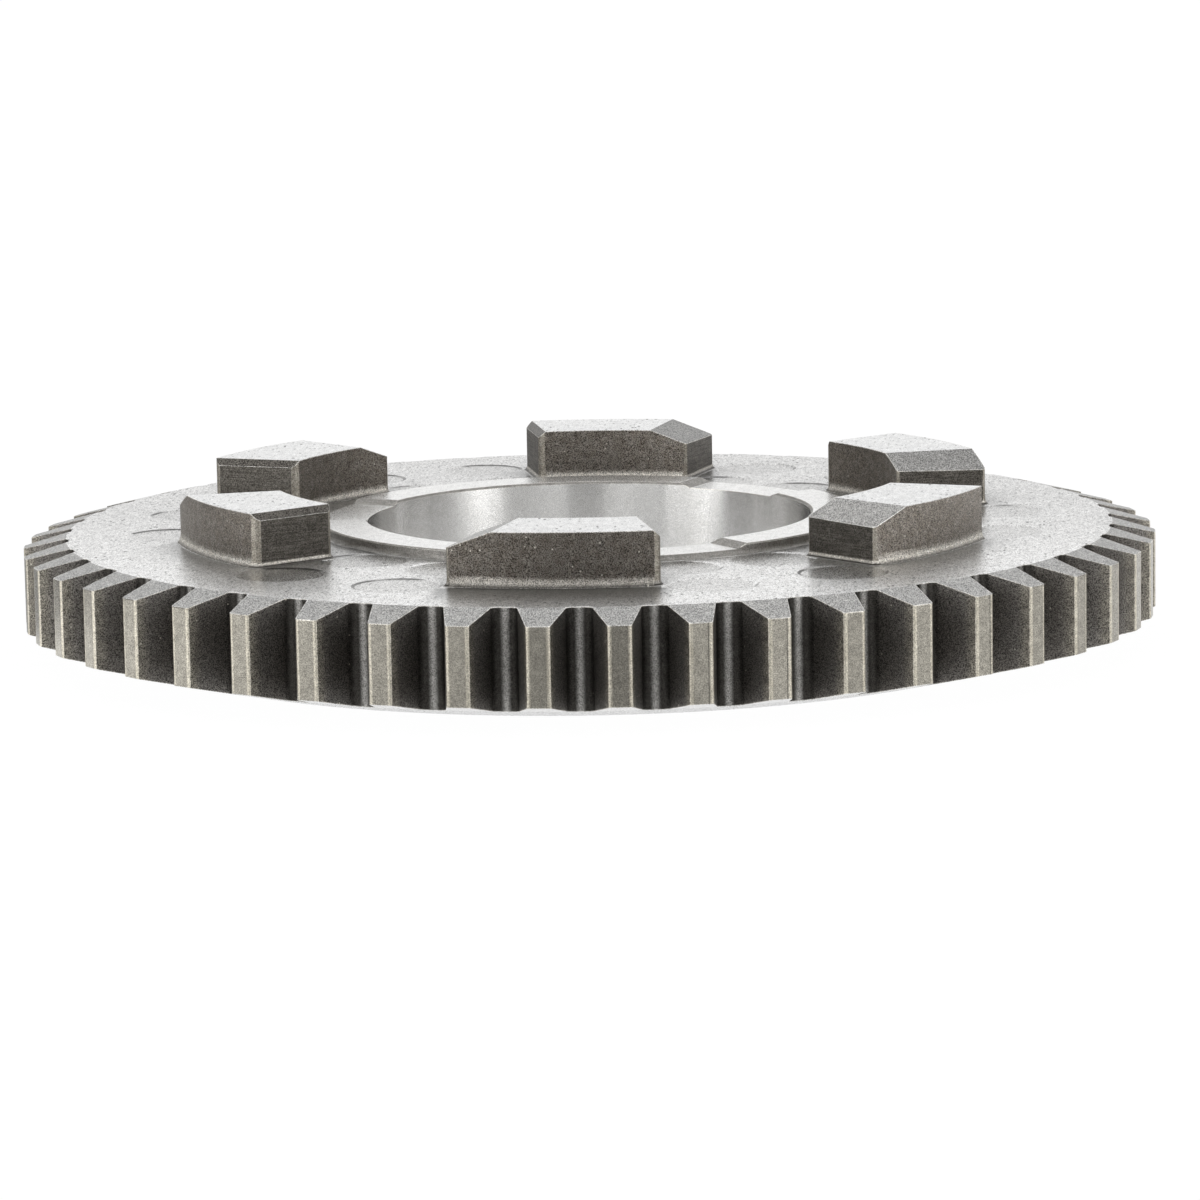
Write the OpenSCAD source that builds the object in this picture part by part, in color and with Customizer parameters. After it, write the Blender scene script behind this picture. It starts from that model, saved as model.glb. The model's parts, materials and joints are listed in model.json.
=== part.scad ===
// Toothed chain wheel for an inverted-tooth chain, pressed and sintered in one piece.
// Six drive lugs stand on its front face round a notched rim and a machined bore.
// The axis is +Z, the flat back face lies at z = 0, and one lug is centred on -Y.

/* [Chain teeth] */
// Number of teeth round the wheel
teeth = 48; // [46:1:56]
// Pitch of the chain, in mm
chain_pitch = 9.525; // [9.3:0.025:10.5]
// Depth of the gap from the tooth tips to the root circle
tooth_depth = 5.7; // [4.8:0.1:6.4]
// Width of a tooth from flank to flank, just below its tip
tip_width = 2.8; // [2.3:0.1:3.3]
// Angle between each flank and the middle line of its gap, in degrees
flank_angle = 19; // [16:0.5:21]
// Radius of the rounded corners at the root of a gap
root_fillet = 0.9; // [0.6:0.05:1.1]
// Width of the small chamfer along each edge of a tooth tip
tip_chamfer = 0.38; // [0.1:0.02:0.6]
// Height of that chamfer, towards the axis
tip_chamfer_drop = 0.22; // [0.05:0.01:0.4]

/* [Disc] */
// Thickness of the disc between its two flat faces
disc_t = 14.05; // [12:0.05:20]
// Slope of the bevelled tooth ends, front and back, in degrees
bevel_angle = 14; // [8:0.5:16]
// Distance from the root circle out to the start of the front bevel
front_bevel_land = 0.35; // [0.1:0.05:1]
// Diameter of the flat back face, where the back bevel starts
back_face_d = 117.4; // [96:0.2:124]

/* [Bore and rim] */
// Diameter of the machined bore
bore_d = 56.4; // [50:0.1:60]
// Chamfer at the front end of the bore
bore_front_chamfer = 0.3; // [0.1:0.05:0.5]
// Chamfer at the back end of the bore
bore_back_chamfer = 0.8; // [0.3:0.1:1.5]
// Outside diameter of the raised rim round the bore
rim_d = 68.4; // [66:0.1:72]
// Height of the rim above the front face
rim_h = 1.35; // [1.2:0.05:2.5]
// Height that is left of the rim in its notches
rim_low_h = 0.76; // [0.4:0.02:0.8]
// Radius of the fillet at the foot of the rim
rim_fillet = 0.5; // [0.2:0.05:0.7]
// Width of the broken edge round the top of the rim
rim_edge = 0.15; // [0.05:0.05:0.3]
// Number of notches in the rim
rim_notches = 3; // [2:1:4]
// Angle that a notch spans at the top of the rim, in degrees
notch_angle = 33.4; // [20:0.1:40]
// Length of the sloped end of a notch
notch_ramp = 1.6; // [0.8:0.1:2.5]
// Teeth counted from the middle of a lug to the middle of a notch
notch_offset_teeth = 3; // [0:1:8]

/* [Drive lugs] */
// Number of lugs
lugs = 6; // [4:1:6]
// Diameter over the outer faces of the lugs
lug_outer_d = 104.3; // [100:0.1:106]
// Diameter inside the inner faces of the lugs
lug_inner_d = 80.8; // [76:0.1:86]
// Height of the lugs above the front face
lug_h = 6.6; // [4.5:0.1:9]
// Angle that a lug spans at the axis, in degrees
lug_angle = 28.4; // [22:0.1:32]
// Radius round which the upright corners turn at the steep end of a lug
lug_corner = 1.1; // [0.5:0.05:1.5]
// Radius round which they turn at its ramped end
lug_ramp_corner = 0.5; // [0.3:0.05:1.5]
// Width of the flare at the foot of a lug, out from its walls
lug_foot = 0.5; // [0.2:0.05:0.8]
// Height of that flare on the curved walls
lug_foot_h = 1.35; // [0.8:0.05:1.8]
// Height of that flare on the end walls
lug_end_foot_h = 0.7; // [0.4:0.05:1.5]
// Length of the ramp at the clockwise end of a lug
lug_ramp = 5.6; // [3:0.1:8]
// Height that the ramp falls over that length
lug_ramp_drop = 2; // [1:0.1:3]
// Width of the lead-in chamfer at the other end of a lug
lug_lead = 0.9; // [0.3:0.05:1.2]
// Height of that chamfer
lug_lead_drop = 0.85; // [0.2:0.05:1.2]

/* [Punch marks] */
// Diameter of the shallow round marks between the lugs
mark_d = 10.9; // [8:0.1:12]
// Depth of the marks
mark_depth = 0.12; // [0.08:0.02:0.4]
// Width of the sloped edge round a mark
mark_edge = 0.4; // [0.1:0.05:0.6]
// Radius of the outer ring of marks
mark_outer_r = 53.1; // [51:0.1:56]
// Radius of the inner ring of marks
mark_inner_r = 39.2; // [38:0.1:42]
// Angle between the middle of the gap and a mark, in degrees
mark_angle = 9.4; // [8:0.1:11]

/* [Hidden] */
$fn = 180;
steel = [0.47, 0.455, 0.43];
overcut = 1;
sink = 0.6;
// How far the round corners of a gap reach over its flat sides, so that the two cross cleanly
seam = 0.01;

tooth_step = 360 / teeth;
// Tip circle of an inverted-tooth chain wheel with flat tips, worked out from its pitch
tip_clearance = 0.22;
tip_r = chain_pitch * (1 / tan(180 / teeth) - tip_clearance) / 2;
root_r = tip_r - tooth_depth;
flank_top_r = tip_r - tip_chamfer_drop;
gap_half_top = flank_top_r * sin(tooth_step / 2) - tip_width / 2;

front_bevel_r = root_r + front_bevel_land;
front_bevel_h = (tip_r - front_bevel_r) * tan(bevel_angle);
back_face_r = back_face_d / 2;
back_bevel_h = (tip_r - back_face_r) * tan(bevel_angle);

bore_r = bore_d / 2;
rim_r = rim_d / 2;
rim_top = disc_t + rim_h;
notch_floor = disc_t + rim_low_h;
notch_offset = notch_offset_teeth * tooth_step;

lug_step = 360 / lugs;
lug_out_r = lug_outer_d / 2;
lug_in_r = lug_inner_d / 2;
// Flat walls that turn round each upright corner of a lug
corner_walls = 2;
ramp_half_angle = asin(lug_ramp / 2 / lug_out_r);
first_lug = -90;

// Half the width of a tooth gap at radius r
function gap_half(r) = gap_half_top - (flank_top_r - r) * tan(flank_angle);

// One tooth gap, with its middle line on +X
module gap_outline() {
    corner_r = root_r + root_fillet;
    corner_y = gap_half(corner_r) - root_fillet / cos(flank_angle);
    touch_r = corner_r - root_fillet * sin(flank_angle);
    touch_y = corner_y + root_fillet * cos(flank_angle);
    mouth_r = tip_r + overcut;
    mouth_y = gap_half_top + tip_chamfer * (overcut + tip_chamfer_drop) / tip_chamfer_drop;
    half = [
        [root_r, corner_y], [touch_r, touch_y], [flank_top_r, gap_half_top], [mouth_r, mouth_y]
    ];
    other_half = [for (i = [len(half) - 1 : -1 : 0]) [half[i][0], -half[i][1]]];
    polygon(concat(half, other_half));
    for (side = [-1, 1]) translate([corner_r, side * corner_y]) circle(root_fillet + seam);
}

// The outline of the wheel seen along its axis
module wheel_outline() {
    difference() {
        circle(tip_r + overcut);
        for (i = [0 : teeth - 1]) rotate(first_lug + (i + 0.5) * tooth_step) gap_outline();
    }
}

// The disc with its teeth: the turned section gives the bevels, the outline gives the gaps
module toothed_disc() {
    intersection() {
        rotate_extrude() polygon([
            [0, 0], [back_face_r, 0], [tip_r, back_bevel_h],
            [tip_r, disc_t - front_bevel_h], [front_bevel_r, disc_t], [0, disc_t]
        ]);
        translate([0, 0, -overcut]) linear_extrude(disc_t + 2 * overcut) wheel_outline();
    }
}

// One round mark with a sloped edge, below the level z = 0
module face_mark() {
    rim = mark_d / 2;
    slope = mark_edge / mark_depth;
    rotate_extrude() polygon([
        [0, -mark_depth], [rim - mark_edge, -mark_depth], [rim + slope * overcut, overcut], [0, overcut]
    ]);
}

// Two rings of shallow round marks, a pair of each in every space between the lugs
module face_marks() {
    for (i = [0 : lugs - 1], side = [-1, 1], r = [mark_inner_r, mark_outer_r])
        rotate(first_lug + (i + 0.5) * lug_step + side * mark_angle)
            translate([r, 0, disc_t]) face_mark();
}

// Section of a hollow flare that fills the corner between a wall on the Y axis and a floor on the
// X axis: it leaves the wall smoothly at its height and meets the floor at its width
module flare(width, height) {
    radius = (pow(width, 2) + pow(height, 2)) / (2 * width);
    difference() {
        translate([-sink, -sink]) square([width + sink, height + sink]);
        translate([radius, height]) circle(radius);
    }
}

// A straight prism along +X with a section drawn in the YZ plane
module prism(from, to) {
    translate([from, 0, 0]) rotate([90, 0, 90]) linear_extrude(to - from) children();
}

// One notch in the rim, centred on +X, with a flat floor and two sloped ends
module rim_notch() {
    rise = rim_h - rim_low_h;
    floor_angle = notch_angle - 2 * asin(notch_ramp / rim_r);
    reach = rim_r + overcut;
    slope = notch_ramp / rise;
    rotate(-floor_angle / 2) rotate_extrude(angle = floor_angle)
        translate([0, notch_floor]) square([reach, rise + overcut]);
    for (side = [0, 1]) mirror([0, side, 0]) rotate(floor_angle / 2) prism(0, reach) polygon([
        [-overcut, notch_floor], [0, notch_floor],
        [slope * (rise + overcut), rim_top + overcut], [-overcut, rim_top + overcut]
    ]);
}

// The raised rim round the bore
module rim() {
    difference() {
        rotate_extrude() {
            polygon([
                [0, disc_t - sink], [rim_r, disc_t - sink], [rim_r, rim_top - rim_edge],
                [rim_r - rim_edge, rim_top], [0, rim_top]
            ]);
            translate([rim_r, disc_t]) flare(rim_fillet, rim_fillet);
        }
        for (i = [0 : rim_notches - 1])
            rotate(first_lug + notch_offset + i * 360 / rim_notches) rim_notch();
    }
}

// Section of a lug wall that faces +X, flared at its foot, with solid behind it
module wall_section(thickness, foot_h) {
    translate([-thickness, -sink]) square([thickness, lug_h + sink]);
    flare(lug_foot, foot_h);
}

// The two curved walls of a lug, as a whole ring
module lug_ring() {
    half_wall = (lug_out_r - lug_in_r) / 2;
    rotate_extrude() {
        translate([lug_out_r, 0]) wall_section(half_wall, lug_foot_h);
        translate([lug_in_r, 0]) mirror([1, 0]) wall_section(half_wall, lug_foot_h);
    }
}

// Everything behind one flat wall, which faces the given angle at a distance from a point
module wall_block(point, facing, distance) {
    reach = 2 * lug_out_r;
    translate(point) rotate(facing) translate([distance, 0]) rotate([90, 0, 0])
        linear_extrude(2 * reach, center = true) wall_section(reach, lug_end_foot_h);
}

// The anticlockwise end of a lug: its flat wall, and the walls that turn round its upright corners
module lug_end(corner_r) {
    out_r = lug_out_r - corner_r;
    in_r = lug_in_r + corner_r;
    // Angles from the end wall to the centres of the two corners
    out_angle = asin(corner_r / out_r);
    in_angle = asin(corner_r / in_r);
    out_corner = out_r * [cos(lug_angle / 2 - out_angle), sin(lug_angle / 2 - out_angle)];
    in_corner = in_r * [cos(lug_angle / 2 - in_angle), sin(lug_angle / 2 - in_angle)];
    facing = lug_angle / 2 + 90;
    intersection() {
        wall_block([0, 0], facing, 0);
        intersection_for (i = [1 : corner_walls]) {
            turn = i / (corner_walls + 1);
            intersection() {
                wall_block(out_corner, facing - turn * (90 + out_angle), corner_r);
                wall_block(in_corner, facing + turn * (90 - in_angle), corner_r);
            }
        }
    }
}

// One lug, centred on +X, with its long ramp at the clockwise end
module lug() {
    reach = 2 * lug_out_r;
    ramp_slope = lug_ramp_drop / lug_ramp;
    lead_slope = lug_lead_drop / lug_lead;
    difference() {
        intersection() {
            lug_ring();
            lug_end(lug_corner);
            mirror([0, 1, 0]) lug_end(lug_ramp_corner);
        }
        rotate(ramp_half_angle - lug_angle / 2) prism(0, reach) polygon([
            [-lug_ramp, lug_h - lug_ramp_drop / 2 - lug_ramp * ramp_slope],
            [lug_ramp, lug_h - lug_ramp_drop / 2 + lug_ramp * ramp_slope],
            [-lug_ramp, lug_h + lug_ramp_drop]
        ]);
        rotate(lug_angle / 2) prism(0, reach) polygon([
            [-lug_lead - overcut, lug_h + overcut * lead_slope],
            [overcut, lug_h - lug_lead_drop - overcut * lead_slope],
            [overcut, lug_h + overcut * lead_slope]
        ]);
    }
}

// The bore with its two end chamfers
module bore_cut() {
    rotate_extrude() polygon([
        [0, -overcut], [bore_r + bore_back_chamfer + overcut, -overcut],
        [bore_r, bore_back_chamfer], [bore_r, rim_top - bore_front_chamfer],
        [bore_r + bore_front_chamfer + overcut, rim_top + overcut], [0, rim_top + overcut]
    ]);
}

module sprocket() {
    color(steel) difference() {
        union() {
            difference() {
                toothed_disc();
                face_marks();
            }
            rim();
            for (i = [0 : lugs - 1]) translate([0, 0, disc_t]) rotate(first_lug + i * lug_step) lug();
        }
        bore_cut();
    }
}

sprocket();
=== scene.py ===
"""Studio picture of the chain sprocket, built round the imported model.

The part's own frame is kept: the axis is +Z, the back face lies at z = 0 and one lug points to -Y, where
the camera stands. Blender's lengths are metres, and the materials work in millimetres.
"""
import json
import math

import bpy
from mathutils import Matrix, Vector


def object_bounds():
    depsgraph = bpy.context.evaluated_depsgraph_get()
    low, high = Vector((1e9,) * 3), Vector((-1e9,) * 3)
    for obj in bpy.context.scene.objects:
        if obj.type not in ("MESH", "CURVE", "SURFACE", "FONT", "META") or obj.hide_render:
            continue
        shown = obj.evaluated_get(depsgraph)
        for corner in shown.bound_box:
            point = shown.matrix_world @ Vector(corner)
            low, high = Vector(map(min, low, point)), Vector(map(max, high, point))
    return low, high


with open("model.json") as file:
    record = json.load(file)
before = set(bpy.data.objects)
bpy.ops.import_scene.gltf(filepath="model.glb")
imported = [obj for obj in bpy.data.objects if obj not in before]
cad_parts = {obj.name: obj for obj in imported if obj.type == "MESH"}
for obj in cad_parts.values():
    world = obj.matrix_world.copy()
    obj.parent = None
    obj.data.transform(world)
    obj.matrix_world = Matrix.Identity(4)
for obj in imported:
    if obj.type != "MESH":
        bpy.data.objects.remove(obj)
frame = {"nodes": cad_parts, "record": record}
cad_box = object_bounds()
mounts = {mount["name"]: mount for mount in frame["record"]["mounts"]}

MM = 0.001

# Sizes that the frame gives, in mm
TIP_R = cad_box[1][1] / MM
LUG_Z = cad_box[1][2] / MM
BORE_R = mounts["bore"]["dims"]["r_mm"]
DISC_Z = mounts["drive_lugs"]["pos_m"][2] / MM

# Sizes of the part that only its source holds, in mm
TEETH = 48
ROOT_R = 65.91
TIP_HALF = 1.4
TIP_CHAMFER = 0.38
RIM_R = 34.2
RIM_Z = 15.4
LUG_OUT_R = 52.15
LUG_FOOT_H = 1.35

# Radius to which sharp edges look worn, and that of the soft edges on the disc, in mm
EDGE_R = 0.25
SOFT_R = 0.5

# Painted shade, in mm: its reach round the foot of the lugs, then half the width and the soft edge of the
# painted reflection patch before the front lug
SHADE_REACH = 10.0
PATCH_HALF = 14.8
PATCH_FADE = 1.8

# Camera fitted to the photograph, with its distance and aim as shares of the tip radius
CAM_ELEVATION = math.radians(9.2369)
CAM_AZIMUTH = math.radians(-85.2213)
CAM_ROLL = math.radians(-0.9989)
CAM_DISTANCE = 9.4176 * TIP_R * MM
CAM_AIM_SIDE = 0.0169 * TIP_R * MM
CAM_AIM_HEIGHT = (12.716 - 0.1205 * TIP_R) * MM
CAM_LENS = 158.743
CAM_SENSOR = 36.0
TOWARD_CAMERA = (math.cos(CAM_AZIMUTH), math.sin(CAM_AZIMUTH), 0)
RIGHT_OF_CAMERA = (-math.sin(CAM_AZIMUTH), math.cos(CAM_AZIMUTH), 0)

# Light round the part, not even but fitted to the photograph's reflections. LAMPS is the world and TABLE
# the floor as the metal mirrors it, in steps: from degrees off the camera's direction, to, by how much
LAMPS_RIGHT = ((10, 12, 0.80), (46, 48, 2.6), (50, 86, -2.83), (95, 112, -0.3), (122, 142, 0.73))
LAMPS_LEFT = ((7, 9, 1.0), (39, 40, -0.75), (41, 42, 2.4), (72, 80, -2.43), (124, 142, 0.78))
TABLE_RIGHT = ((0, 1, 0.66), (11, 15, 0.45), (40, 100, 0.08))
TABLE_LEFT = ((0, 1, 0.66), (12, 16, 0.5), (25, 60, 0.5), (80, 100, -1.1))
CEILING = 1.1
CEILING_TOWARD_CAMERA = 0.55
CEILING_TOP = 1.5

# The floor, in metres, and its light
FLOOR_HALF = 6.0
FLOOR_GAP = 0.0002
FLOOR_SEEN = 1.02
FLOOR_IN_BORE = 0.65
FLOOR_GLOW_SHARE = 0.95


def look_camera():
    """Places the camera at the photograph's angle, distance and roll."""
    side = Vector(RIGHT_OF_CAMERA)
    back = math.cos(CAM_ELEVATION) * Vector(TOWARD_CAMERA) + Vector((0, 0, math.sin(CAM_ELEVATION)))
    up = back.cross(side)
    right = math.cos(CAM_ROLL) * side + math.sin(CAM_ROLL) * up
    top = -math.sin(CAM_ROLL) * side + math.cos(CAM_ROLL) * up
    data = bpy.data.cameras.new("camera")
    data.sensor_width = CAM_SENSOR
    data.lens = CAM_LENS
    data.clip_start = 0.01
    data.clip_end = 50
    camera = bpy.data.objects.new("camera", data)
    bpy.context.scene.collection.objects.link(camera)
    aim = CAM_AIM_SIDE * side + Vector((0, 0, CAM_AIM_HEIGHT))
    turn = Matrix((right, top, back)).transposed().to_4x4()
    camera.matrix_world = Matrix.Translation(aim + CAM_DISTANCE * back) @ turn
    bpy.context.scene.camera = camera


class Nodes:
    """Short calls that add shader nodes to one tree. Masks are numbers from 0 to 1."""

    def __init__(self, tree):
        self.tree = tree
        tree.nodes.clear()

    def add(self, kind, **values):
        node = self.tree.nodes.new(kind)
        for name, value in values.items():
            setattr(node, name, value)
        return node

    def link(self, value, socket):
        """Feeds a socket from another one, or sets its own constant."""
        if isinstance(value, bpy.types.NodeSocket):
            self.tree.links.new(value, socket)
        elif socket.type == "RGBA" and len(value) == 3:
            socket.default_value = (*value, 1)
        else:
            socket.default_value = value

    def fill(self, kind, **inputs):
        """A node with its named inputs set; an underscore in a name stands for a space."""
        node = self.add(kind)
        for name, value in inputs.items():
            self.link(value, node.inputs[name.replace("_", " ")])
        return node

    def math(self, operation, a, b=0.0):
        node = self.add("ShaderNodeMath", operation=operation)
        self.link(a, node.inputs[0])
        self.link(b, node.inputs[1])
        return node.outputs[0]

    def plus(self, a, b):
        return self.math("ADD", a, b)

    def minus(self, a, b):
        return self.math("SUBTRACT", a, b)

    def size(self, value):
        """The value without its sign."""
        return self.math("ABSOLUTE", value)

    def vector(self, operation, a, b=(0, 0, 0)):
        node = self.add("ShaderNodeVectorMath", operation=operation)
        self.link(a, node.inputs[0])
        self.link(b, node.inputs["Scale" if operation == "SCALE" else 1])
        return node.outputs["Value" if operation in ("LENGTH", "DOT_PRODUCT") else "Vector"]

    def split(self, vector):
        """The three parts of a vector."""
        node = self.add("ShaderNodeSeparateXYZ")
        self.link(vector, node.inputs[0])
        return tuple(node.outputs)

    def join(self, x, y, z):
        """A vector from its three parts."""
        node = self.add("ShaderNodeCombineXYZ")
        for socket, value in zip(node.inputs, (x, y, z)):
            self.link(value, socket)
        return node.outputs[0]

    def ramp(self, value, low, high, to_low=0.0, to_high=1.0):
        """A smooth step of a value from one number to another."""
        node = self.add("ShaderNodeMapRange", interpolation_type="SMOOTHSTEP")
        for socket, number in zip(node.inputs[:5], (value, low, high, to_low, to_high)):
            self.link(number, socket)
        return node.outputs[0]

    def mix(self, factor, a, b):
        """Mix of two colours."""
        node = self.add("ShaderNodeMix", data_type="RGBA")
        self.link(factor, node.inputs["Factor"])
        self.link(a, node.inputs[6])
        self.link(b, node.inputs[7])
        return node.outputs[2]

    def blend(self, factor, a, b):
        """Mix of two numbers."""
        node = self.add("ShaderNodeMix", data_type="FLOAT")
        self.link(factor, node.inputs["Factor"])
        self.link(a, node.inputs[2])
        self.link(b, node.inputs[3])
        return node.outputs[0]

    def shade(self, factor, a, b):
        """Mix of two shaders."""
        node = self.add("ShaderNodeMixShader")
        for socket, value in zip(node.inputs, (factor, a, b)):
            self.link(value, socket)
        return node.outputs[0]

    def tint(self, colour, factor):
        """The colour times a number."""
        grey = self.add("ShaderNodeCombineColor")
        for socket in grey.inputs[:3]:
            self.link(factor, socket)
        node = self.add("ShaderNodeMix", data_type="RGBA", blend_type="MULTIPLY")
        self.link(1.0, node.inputs["Factor"])
        self.link(colour, node.inputs[6])
        self.link(grey.outputs[0], node.inputs[7])
        return node.outputs[2]

    def tint_in(self, mask, colour, factor):
        """The colour times a number inside a mask, and as it was outside."""
        return self.tint(colour, self.blend(mask, 1.0, factor))

    def darken(self, mask, colour, amount):
        """The colour, darker by a share inside a mask."""
        return self.tint(colour, self.minus(1.0, self.math("MULTIPLY", mask, amount)))

    def noise(self, place, scale, detail=2.0, roughness=0.5):
        """Noise with its features about 1 / scale mm apart."""
        node = self.fill("ShaderNodeTexNoise", Vector=place, Scale=scale, Detail=detail, Roughness=roughness)
        return node.outputs["Fac"]

    def bump(self, height, strength, normal=None):
        """A normal bent by a height in metres."""
        node = self.fill("ShaderNodeBump", Height=height, Distance=1.0, Strength=strength)
        if normal is not None:
            self.link(normal, node.inputs["Normal"])
        return node.outputs[0]

    def both(self, *masks):
        """Product of masks."""
        out = masks[0]
        for mask in masks[1:]:
            out = self.math("MULTIPLY", out, mask)
        return out

    def either(self, *masks):
        """Strongest of several masks."""
        out = masks[0]
        for mask in masks[1:]:
            out = self.math("MAXIMUM", out, mask)
        return out

    def inverse(self, mask):
        return self.minus(1.0, mask)


class Spot:
    """Where a point of the steel lies, in mm, and which way it faces."""

    def __init__(self, n):
        self.place = n.vector("SCALE", n.add("ShaderNodeTexCoord").outputs["Object"], 1 / MM)
        self.x, self.y, self.height = n.split(self.place)
        flat = n.vector("MULTIPLY", self.place, (1, 1, 0))
        self.radius = n.vector("LENGTH", flat)
        geometry = n.add("ShaderNodeNewGeometry")
        facing = geometry.outputs["Normal"]
        self.true_normal = geometry.outputs["True Normal"]
        self.up = n.split(facing)[2]
        self.outward = n.vector("DOT_PRODUCT", n.vector("NORMALIZE", flat), facing)

        # Distance from the middle line of the nearest tooth and from that of the nearest gap
        turn = n.math("MULTIPLY", n.math("ARCTAN2", self.y, self.x), TEETH / (2 * math.pi))
        turn = n.plus(turn, TEETH / 4 + 0.5)
        off_tooth = n.minus(n.math("FRACT", turn), 0.5)
        self.across = n.both(off_tooth, 2 * math.pi / TEETH, self.radius)
        self.from_gap = n.minus(math.pi * ROOT_R / TEETH, n.size(self.across))

        # A random number of its own for each tooth
        own = n.add("ShaderNodeTexWhiteNoise", noise_dimensions="1D")
        n.link(n.math("FLOOR", turn), own.inputs["W"])
        self.own = own.outputs["Value"]

        # The grain of the level faces is stretched along Y, chosen for the photograph's low angle
        lay = n.ramp(self.up, 0.8, 0.9, 1.0, 0.35)
        self.laid = n.vector("MULTIPLY", self.place, n.join(1.0, lay, 1.0))

        # Unevenness shared by several zones: patches, wide clouds and the grain of the pressed powder
        self.patch = n.noise(self.place, 0.9, 3.0, 0.6)
        self.cloud = n.noise(self.place, 0.12, 3.0, 0.55)
        self.grain = n.noise(self.laid, 7.5, 2.0, 0.8)


class Zones:
    """Masks of the surfaces that have a skin of their own."""

    def __init__(self, n, spot):
        up, height, radius = spot.up, spot.height, spot.radius
        level = n.ramp(up, 0.985, 0.998)
        upright = n.ramp(n.size(up), 0.3, 0.1)
        above_disc = n.ramp(height, DISC_Z + 0.02, DISC_Z + 0.06)
        on_lug = n.both(above_disc, n.ramp(radius, RIM_R + 2.0, RIM_R + 2.5))
        in_teeth = n.ramp(radius, ROOT_R + 0.32, ROOT_R + 0.36)

        self.disc = n.both(n.ramp(up, 0.8, 0.85), n.inverse(above_disc), n.inverse(in_teeth))
        self.mark_edge = n.both(self.disc, n.ramp(up, 0.985, 0.972))
        self.mark_floor = n.both(level, n.ramp(radius, RIM_R + 0.6, RIM_R + 0.8), n.inverse(in_teeth),
                                 n.ramp(height, DISC_Z - 0.06, DISC_Z - 0.10), n.ramp(height, 0.5, 1.0))
        self.bore = n.both(upright, n.ramp(radius, BORE_R + 0.4, BORE_R + 0.2))
        self.rim_top = n.both(level, above_disc, n.inverse(on_lug))
        self.rim_side = n.both(n.inverse(level), n.inverse(on_lug), n.inverse(self.bore),
                               n.ramp(radius, RIM_R + 0.8, RIM_R + 0.6))
        self.rim_foot = n.both(self.rim_side, n.ramp(height, RIM_Z - 0.3, RIM_Z - 0.5))

        sideways = n.size(spot.outward)
        self.lug_top = n.both(level, n.ramp(height, LUG_Z - 0.3, LUG_Z - 0.1))
        self.lug_side = n.both(upright, on_lug, n.ramp(sideways, 0.9, 0.96))
        self.lug_end = n.both(upright, on_lug, n.ramp(sideways, 0.3, 0.1))
        self.lug_corner = n.both(upright, on_lug, n.inverse(self.lug_side), n.inverse(self.lug_end))
        self.lug_ramp = n.both(on_lug, n.ramp(up, 0.85, 0.92), n.inverse(level))
        self.lug_lead = n.both(on_lug, n.ramp(up, 0.6, 0.7), n.ramp(up, 0.85, 0.8))
        self.foot = n.both(on_lug, n.ramp(up, 0.04, 0.4), n.ramp(up, 0.85, 0.8),
                           n.ramp(height, DISC_Z + LUG_FOOT_H + 0.3, DISC_Z + LUG_FOOT_H + 0.1))

        self.teeth = in_teeth
        self.bevel = n.both(in_teeth, n.ramp(up, 0.9, 0.95), n.inverse(level))
        self.tip = n.both(upright, n.ramp(radius, TIP_R - 0.32, TIP_R - 0.24),
                          n.ramp(spot.outward, 0.7, 0.8))
        beside = n.minus(n.size(spot.across), TIP_HALF - TIP_CHAMFER)
        self.tip_edge = n.both(self.tip, n.ramp(beside, -0.14, 0.02))
        self.tip_land = n.both(self.tip, n.inverse(self.tip_edge))
        self.flank = n.both(upright, in_teeth, n.inverse(self.tip))
        self.flank_wear = n.both(self.flank, n.ramp(radius, TIP_R - 1.9, TIP_R - 0.3),
                                 n.ramp(spot.patch, 0.25, 0.6, 0.5, 1.0))
        self.gap_floor = n.both(upright, n.ramp(radius, ROOT_R - 0.3, ROOT_R - 0.1),
                                n.ramp(radius, ROOT_R + 0.9, ROOT_R + 0.3))
        # The middle of each gap's floor carries a painted reflection.
        self.painted_gap_reflection = n.both(self.gap_floor, n.ramp(spot.from_gap, 0.7, 0.0))
        self.back = n.ramp(up, -0.3, -0.6)

        # Wider groups of the same surfaces
        self.bright = n.either(self.lug_top, self.rim_top, self.bore)
        self.fair = n.either(self.lug_ramp, self.bevel, self.disc, self.tip, self.teeth)
        self.ground = n.either(self.lug_top, self.rim_top, self.disc, self.mark_floor)
        self.pressed = n.either(self.lug_side, self.foot)
        self.pitted = n.either(self.disc, self.lug_top)


def scratches(n, place, angle, length, width, share):
    """Thin straight scratches: a stretched noise, cut so that only its crests stay."""
    turn = n.fill("ShaderNodeMapping", Vector=place, Rotation=(0, 0, math.radians(angle)),
                  Scale=(1 / length, 1 / width, 1 / width))
    return n.ramp(n.noise(turn.outputs[0], 1.0, 1.0, 0.4), 1 - share, 1 - share + 0.08)


def pits(n, place, spacing, size, share):
    """Small round pores on a loose grid; share is how many of the cells hold one."""
    cells = n.fill("ShaderNodeTexVoronoi", Vector=place, Scale=1 / spacing)
    hole = n.ramp(cells.outputs["Distance"], size / spacing, 0.5 * size / spacing)
    chance = n.add("ShaderNodeSeparateColor")
    n.link(cells.outputs["Color"], chance.inputs[0])
    return n.both(hole, n.math("LESS_THAN", chance.outputs[0], share))


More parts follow.
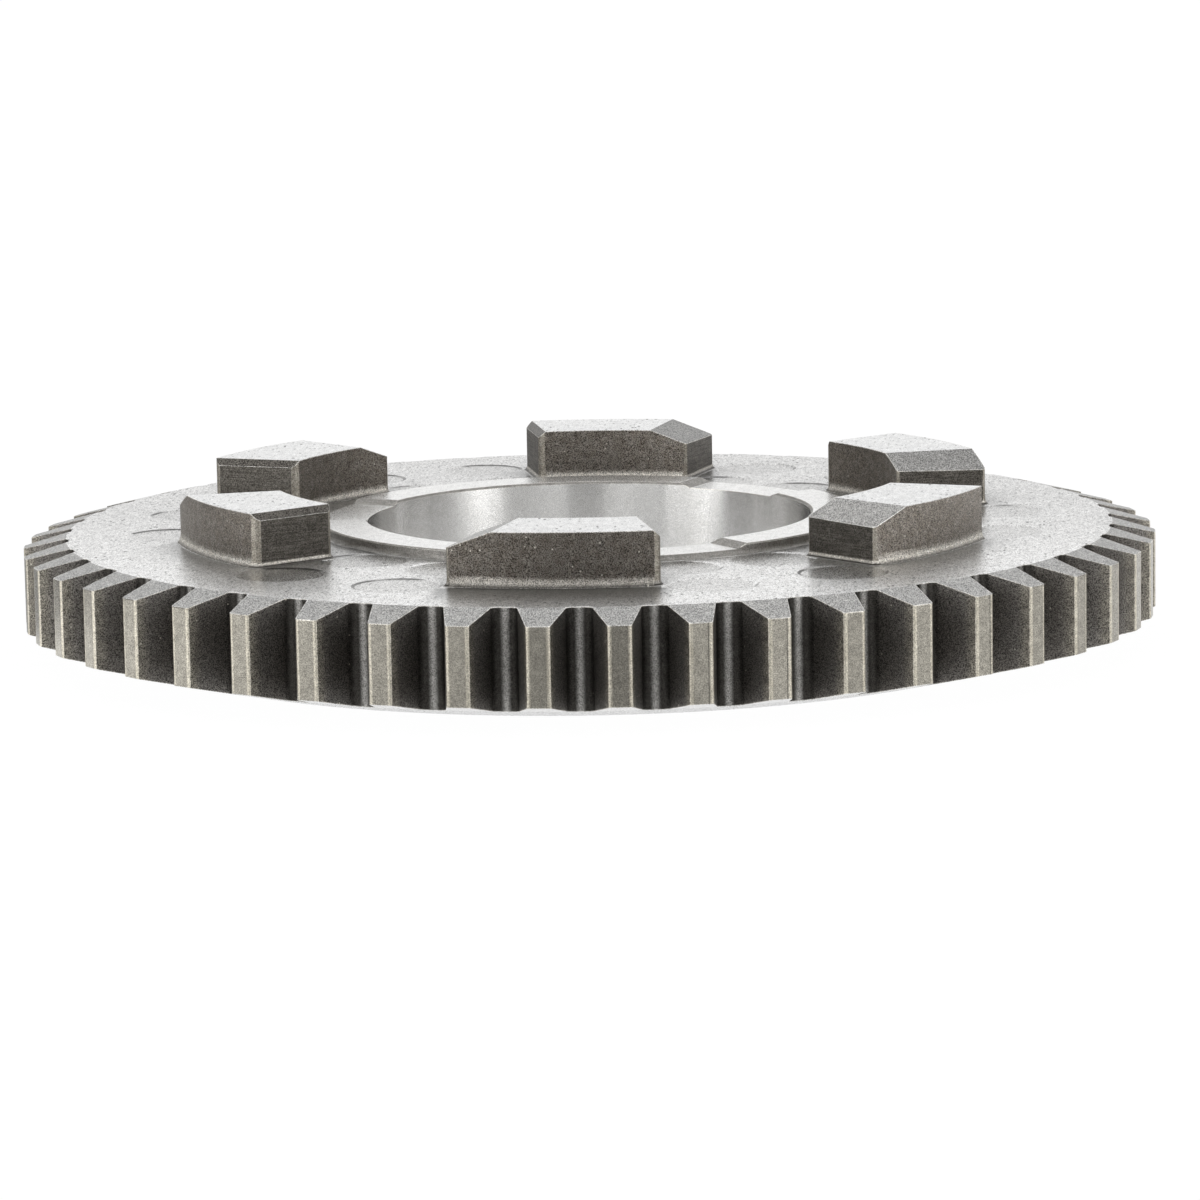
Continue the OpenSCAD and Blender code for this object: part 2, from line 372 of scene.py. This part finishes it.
def zone_colours(n, spot, zone):
    """The colour of each zone, in patches of a darker and a lighter tone.

    Each gap's light middle stripe is a painted reflection on a floor painted dark as shade, after a
    reflection in the photograph.
    """
    dark_skin, light_skin = (0.130, 0.121, 0.110), (0.175, 0.166, 0.155)
    skin = n.mix(n.ramp(spot.cloud, 0.3, 0.7), dark_skin, light_skin)
    # Painted light: the skin is lighter from the front of the wheel toward its back.
    colour = n.tint(skin, n.ramp(spot.y, -67, -48, 0.98, 1.14))
    # Painted shade on patches of the round marks' sloped edges.
    painted_mark_shade = n.both(zone.mark_edge, n.ramp(n.noise(spot.place, 0.1, 1.0, 0.5), 0.5, 0.58))
    for mask, darker, lighter in (
        # Lug walls: partly the steel's dark skin, partly painted shade; end faces painted darker as shade,
        # rounded corners lighter as a painted highlight.
        (zone.lug_side, (0.168, 0.149, 0.128), (0.220, 0.202, 0.180)),
        (zone.lug_end, (0.105, 0.097, 0.085), (0.14, 0.13, 0.116)),
        (zone.lug_corner, (0.30, 0.275, 0.235), (0.38, 0.355, 0.31)),
        (zone.foot, (0.48, 0.455, 0.41), (0.60, 0.575, 0.53)),
        (zone.rim_side, (0.26, 0.25, 0.235), (0.34, 0.33, 0.31)),
        (zone.disc, (0.75, 0.745, 0.735), (0.83, 0.825, 0.815)),
        (zone.bevel, (0.32, 0.318, 0.312), (0.395, 0.39, 0.38)),
        (zone.rim_top, (0.80, 0.795, 0.78), (0.88, 0.875, 0.86)),
        (zone.lug_top, (0.80, 0.80, 0.795), (0.88, 0.88, 0.875)),
        (zone.lug_ramp, (0.31, 0.305, 0.295), (0.37, 0.365, 0.355)),
        (zone.lug_lead, (0.085, 0.078, 0.070), (0.12, 0.112, 0.10)),
        # Painted shade on the floor of each tooth gap, and a painted reflection along its middle.
        (zone.gap_floor, (0.045, 0.042, 0.038), (0.06, 0.057, 0.052)),
        (zone.painted_gap_reflection, (0.32, 0.315, 0.30), (0.41, 0.40, 0.385)),
        (painted_mark_shade, (0.10, 0.10, 0.095), (0.2, 0.195, 0.19)),
        (zone.mark_floor, (0.60, 0.595, 0.585), (0.68, 0.675, 0.665)),
        (zone.flank_wear, (0.22, 0.203, 0.172), (0.30, 0.282, 0.241)),
        (zone.tip_land, (0.25, 0.236, 0.205), (0.32, 0.303, 0.262)),
        (zone.tip_edge, (0.45, 0.418, 0.345), (0.54, 0.508, 0.43)),
        (zone.bore, (0.76, 0.755, 0.74), (0.80, 0.795, 0.785)),
        (zone.back, (0.80, 0.79, 0.78), (0.88, 0.87, 0.86)),
    ):
        colour = n.mix(mask, colour, n.mix(n.ramp(spot.patch, 0.3, 0.7), darker, lighter))
    return colour


def edge_wear_and_highlight(n, spot, zone, rounded, colour):
    """Bright metal along the sharp edges, where the rounded normal leaves the flat one: edge wear and a
    painted highlight.
    """
    edge = n.ramp(n.vector("DOT_PRODUCT", rounded, spot.true_normal), 0.99, 0.86)
    edge = n.both(edge, n.inverse(zone.disc), n.inverse(zone.rim_foot), n.blend(zone.flank, 1.0, 0.5))
    return n.mix(n.both(edge, n.ramp(spot.patch, 0.2, 0.6, 0.7, 1.0)), colour, (0.93, 0.90, 0.83))


def tooth_tips(n, spot, zone, colour):
    """Each tip has its own lightness, and some have a dark line along them."""
    line_at = 0.82
    from_line = n.size(n.minus(spot.across, line_at))
    line = n.both(zone.tip_land, n.ramp(from_line, 0.09, 0.04), n.ramp(spot.own, 0.55, 0.75))
    colour = n.darken(line, colour, 0.55)
    return n.tint_in(zone.tip_land, colour, n.ramp(spot.own, 0.0, 1.0, 0.90, 1.12))


def painted_light_drift(n, spot, zone, colour):
    """Painted light and shade: tones drift from the front of the wheel to its back, and the foot is painted
    darker downward.

    The drift is fitted to the photograph's light: it is painted light and shade, not the colour of the
    steel.
    """
    y = spot.y
    # Painted light: lug walls and feet darker at the front, lighter behind, a little less so at the back.
    painted_side_light = n.both(n.ramp(y, -46, -38, 0.77, 1.30), n.ramp(y, 0, 20, 1.0, 0.84))
    colour = n.tint_in(zone.pressed, colour, painted_side_light)
    colour = n.tint_in(zone.lug_ramp, colour, n.ramp(y, 0, 20, 1.0, 0.70))
    colour = n.tint_in(zone.disc, colour, n.ramp(y, -50, 20, 1.15, 0.94))
    return n.tint_in(zone.foot, colour, n.ramp(spot.height, DISC_Z, DISC_Z + 0.6, 0.25, 1.0))


def grain_colour(n, spot, zone, colour):
    """Specks and blots: strong on the pressed walls, weak on what is ground or turned."""
    # How much each zone shows of them
    grip = n.blend(zone.bright, n.blend(zone.fair, 1.0, 0.40), 0.12)
    for mask, value in (
        (zone.disc, 0.6), (zone.lug_top, 0.35), (zone.lug_side, 0.8), (zone.lug_corner, 0.5),
        (zone.lug_end, 0.6), (zone.gap_floor, 0.5), (zone.foot, 0.6), (zone.bevel, 0.6),
        (zone.rim_side, 0.35), (zone.flank, 0.8), (zone.lug_ramp, 0.7),
    ):
        grip = n.blend(mask, grip, value)
    lightest = n.blend(zone.ground, 1.0, 0.14)
    speck = n.math("MINIMUM", n.ramp(spot.grain, 0.38, 0.62, -0.95, 1.05), lightest)
    blot = n.ramp(n.noise(spot.laid, 2.6, 2.0, 0.6), 0.3, 0.7, -0.13, 0.13)
    mottle = n.ramp(n.noise(spot.laid, 1.3, 4.0, 0.75), 0.35, 0.65, -0.10, 0.05)
    for mask, change in ((grip, speck), (grip, blot), (zone.ground, mottle)):
        colour = n.tint(colour, n.plus(1.0, n.both(mask, change)))
    return colour


def painted_lug_shade(n, spot, zone, colour):
    """Painted shade in the corners at the foot of the lugs, and a painted reflection before the front lug.

    The patch stands in for the mirror image of that lug's wall in the photograph. No other lug has it,
    and it stays when the view changes.
    """
    # Ambient occlusion darkens the disc round the lugs' feet: painted shade in the corners.
    corner = n.add("ShaderNodeAmbientOcclusion", samples=6)
    n.link(SHADE_REACH * MM, corner.inputs["Distance"])
    corner_shade = n.both(zone.disc, n.ramp(corner.outputs["AO"], 0.90, 0.58))
    colour = n.darken(corner_shade, colour, 0.66)
    # A patch before the front lug, darkest at its foot: a painted reflection of that lug's dark wall.
    before_lug = n.both(zone.disc, n.ramp(spot.y, 0.65 - LUG_OUT_R, -0.35 - LUG_OUT_R),
                        n.ramp(n.size(spot.x), PATCH_HALF, PATCH_HALF - PATCH_FADE))
    fading = n.ramp(spot.radius, LUG_OUT_R + 0.45, TIP_R - 4.1, 0.33, 1.0)
    return n.tint_in(before_lug, colour, fading)


def pores_and_scratches(n, spot, zone, pores, colour):
    """Dark pores, lighter dots and sparks, rubbed lines on the lugs' ends and scratches on the disc."""
    where_clustered = n.ramp(n.noise(spot.place, 0.2, 2.0, 0.5), 0.54, 0.62)
    cluster = n.both(pits(n, spot.laid, spacing=0.7, size=0.2, share=0.7), zone.pitted, where_clustered)
    colour = n.mix(n.either(pores, cluster), colour, (0.03, 0.028, 0.025))
    dots = n.both(pits(n, spot.laid, spacing=0.6, size=0.2, share=0.45), zone.pitted)
    colour = n.darken(dots, colour, 0.5)
    sparks = n.both(pits(n, spot.place, spacing=1.1, size=0.13, share=0.3),
                    n.either(zone.pressed, zone.flank))
    colour = n.mix(sparks, colour, (0.66, 0.63, 0.56))
    marks = n.both(scratches(n, spot.place, angle=20, length=7.0, width=0.10, share=0.24), zone.disc,
                   n.ramp(spot.cloud, 0.62, 0.7))
    colour = n.darken(marks, colour, 0.35)
    drawn = n.join(n.math("MULTIPLY", spot.radius, 0.22), 0.0, n.math("MULTIPLY", spot.height, 5.0))
    rubs = n.both(n.ramp(n.noise(drawn, 1.0, 2.0, 0.6), 0.35, 0.65, -0.25, 0.25), zone.lug_end)
    return n.tint(colour, n.plus(1.0, rubs))


def steel_roughness(n, spot, zone):
    """Roughness of each zone, uneven on a small scale."""
    roughness = 0.55
    for mask, value in (
        (zone.disc, 0.31), (zone.mark_floor, 0.26), (zone.bevel, 0.40), (zone.rim_top, 0.28),
        (zone.lug_top, 0.32), (zone.lug_side, 0.45), (zone.lug_ramp, 0.40), (zone.lug_lead, 0.4),
        (zone.tip_land, 0.27), (zone.tip_edge, 0.36), (zone.back, 0.35),
    ):
        roughness = n.blend(mask, roughness, value)
    return n.plus(roughness, n.ramp(n.noise(spot.laid, 9.0, 2.0, 0.6), 0.3, 0.7, -0.04, 0.06))


def steel_relief(n, spot, zone, pores, rounded):
    """Normal bent by the grain and the pores, most on the pressed walls."""
    grain_height, pore_depth = 0.030 * MM, 0.06 * MM
    relief = n.minus(n.math("MULTIPLY", spot.grain, grain_height), n.math("MULTIPLY", pores, pore_depth))
    depth = n.blend(zone.flank, n.blend(zone.bright, n.blend(zone.fair, 1.0, 0.4), 0.12), 0.9)
    return n.bump(n.math("MULTIPLY", relief, depth), 0.9, rounded)


def turned_shader(n, spot, colour):
    """Fine rings left by turning: they spread the light along the axis and keep it sharp round it."""
    ring_height = 0.003 * MM
    rings = n.noise(n.vector("MULTIPLY", spot.place, (0.02, 0.02, 9.0)), 1.0, 2.0, 0.6)
    shader = n.fill("ShaderNodeBsdfPrincipled", Base_Color=colour, Metallic=1.0, Roughness=0.24,
                    Anisotropic=1.0, Tangent=n.join(0.0, 0.0, 1.0),
                    Normal=n.bump(n.math("MULTIPLY", rings, ring_height), 0.5))
    return shader.outputs[0]


def steel_material():
    """Sintered steel whose skin changes with the place: turned tips, dark walls, ground faces, and painted
    light and shade at some places.
    """
    material = bpy.data.materials.new("sintered_steel")
    material.use_nodes = True
    n = Nodes(material.node_tree)
    spot = Spot(n)
    zone = Zones(n, spot)
    edge_round = n.add("ShaderNodeBevel", samples=8)
    n.link(n.blend(zone.disc, EDGE_R * MM, SOFT_R * MM), edge_round.inputs["Radius"])
    rounded = edge_round.outputs[0]
    pores = n.both(pits(n, spot.place, spacing=5.0, size=0.16, share=0.3), zone.pitted)

    colour = zone_colours(n, spot, zone)
    colour = edge_wear_and_highlight(n, spot, zone, rounded, colour)
    colour = tooth_tips(n, spot, zone, colour)
    colour = painted_light_drift(n, spot, zone, colour)
    colour = grain_colour(n, spot, zone, colour)
    colour = painted_lug_shade(n, spot, zone, colour)
    colour = pores_and_scratches(n, spot, zone, pores, colour)

    plain = n.fill("ShaderNodeBsdfPrincipled", Base_Color=colour, Metallic=1.0,
                   Roughness=steel_roughness(n, spot, zone),
                   Normal=steel_relief(n, spot, zone, pores, rounded))
    steel = n.shade(zone.bore, plain.outputs[0], turned_shader(n, spot, colour))
    n.fill("ShaderNodeOutputMaterial", Surface=steel)
    return material


def ray_kinds(n):
    """Masks of the rays that the camera sees directly or through glass, and of the mirrored ones."""
    path = n.add("ShaderNodeLightPath")
    seen = n.either(path.outputs["Is Camera Ray"], path.outputs["Is Transmission Ray"])
    return seen, path.outputs["Is Glossy Ray"]


def level_round(n, direction, right_steps, left_steps):
    """Light level by the angle round the axis, in steps to the right and to the left of the camera."""
    turn = n.math("ARCTAN2", n.vector("DOT_PRODUCT", direction, RIGHT_OF_CAMERA),
                  n.vector("DOT_PRODUCT", direction, TOWARD_CAMERA))
    turn = n.math("MULTIPLY", turn, 180 / math.pi)
    away = n.size(turn)
    sides = []
    for steps in (left_steps, right_steps):
        level = 0.0
        for start, end, change in steps:
            level = n.plus(level, n.ramp(away, start, end, 0.0, change))
        sides.append(level)
    return n.blend(n.ramp(turn, -2, 2), *sides)


def world_light():
    """White for the camera; the metal finds white behind it, bright bands beside it and dark in front."""
    world = bpy.data.worlds.new("studio")
    bpy.context.scene.world = world
    world.use_nodes = True
    n = Nodes(world.node_tree)
    direction = n.add("ShaderNodeTexCoord").outputs["Generated"]
    rise = n.split(direction)[2]
    level = level_round(n, direction, LAMPS_RIGHT, LAMPS_LEFT)
    in_front = n.ramp(n.vector("DOT_PRODUCT", direction, TOWARD_CAMERA), 0.1, 0.5)
    ceiling = n.blend(in_front, CEILING, CEILING_TOWARD_CAMERA)
    level = n.blend(n.ramp(rise, 0.45, 0.85), level, ceiling)
    level = n.blend(n.ramp(rise, 0.90, 0.98), level, CEILING_TOP)
    seen, _ = ray_kinds(n)
    background = n.fill("ShaderNodeBackground", Color=(1, 1, 1), Strength=n.blend(seen, level, 1.0))
    n.fill("ShaderNodeOutputWorld", Surface=background.outputs[0])


def floor_material():
    """White with a faint soft shadow, mirrored with a strength of its own, and open from below."""
    material = bpy.data.materials.new("floor_white")
    material.use_nodes = True
    n = Nodes(material.node_tree)
    seen, mirrored = ray_kinds(n)
    place = n.add("ShaderNodeTexCoord").outputs["Object"]
    reach = n.math("DIVIDE", n.vector("LENGTH", place), MM)
    # The floor glows less inside the bore: painted shade where the part keeps the light off it.
    under_part = n.ramp(reach, BORE_R, BORE_R + 5, FLOOR_IN_BORE, 1.0)
    level = n.blend(n.ramp(reach, TIP_R, TIP_R + 10), under_part,
                    level_round(n, place, TABLE_RIGHT, TABLE_LEFT))
    matte = n.fill("ShaderNodeBsdfDiffuse", Color=(0.9, 0.9, 0.9))
    glow = n.fill("ShaderNodeEmission", Color=(1, 1, 1), Strength=n.blend(mirrored, FLOOR_SEEN, level))
    glowing = n.either(n.math("MULTIPLY", seen, FLOOR_GLOW_SHARE), mirrored)
    top = n.shade(glowing, matte.outputs[0], glow.outputs[0])
    from_below = n.add("ShaderNodeNewGeometry").outputs["Backfacing"]
    surface = n.shade(from_below, top, n.add("ShaderNodeBsdfTransparent").outputs[0])
    n.fill("ShaderNodeOutputMaterial", Surface=surface)
    return material


def floor_plane():
    """The floor, just below the part."""
    mesh = bpy.data.meshes.new("floor")
    corners = [(x * FLOOR_HALF, y * FLOOR_HALF, 0) for x, y in ((-1, -1), (1, -1), (1, 1), (-1, 1))]
    mesh.from_pydata(corners, [], [(0, 1, 2, 3)])
    mesh.materials.append(floor_material())
    floor = bpy.data.objects.new("floor", mesh)
    floor.location.z = -FLOOR_GAP
    bpy.context.scene.collection.objects.link(floor)


bpy.context.scene.view_settings.view_transform = "Standard"
look_camera()
world_light()
floor_plane()
steel = steel_material()
for slot in frame["nodes"]["sprocket"].material_slots:
    slot.material = steel
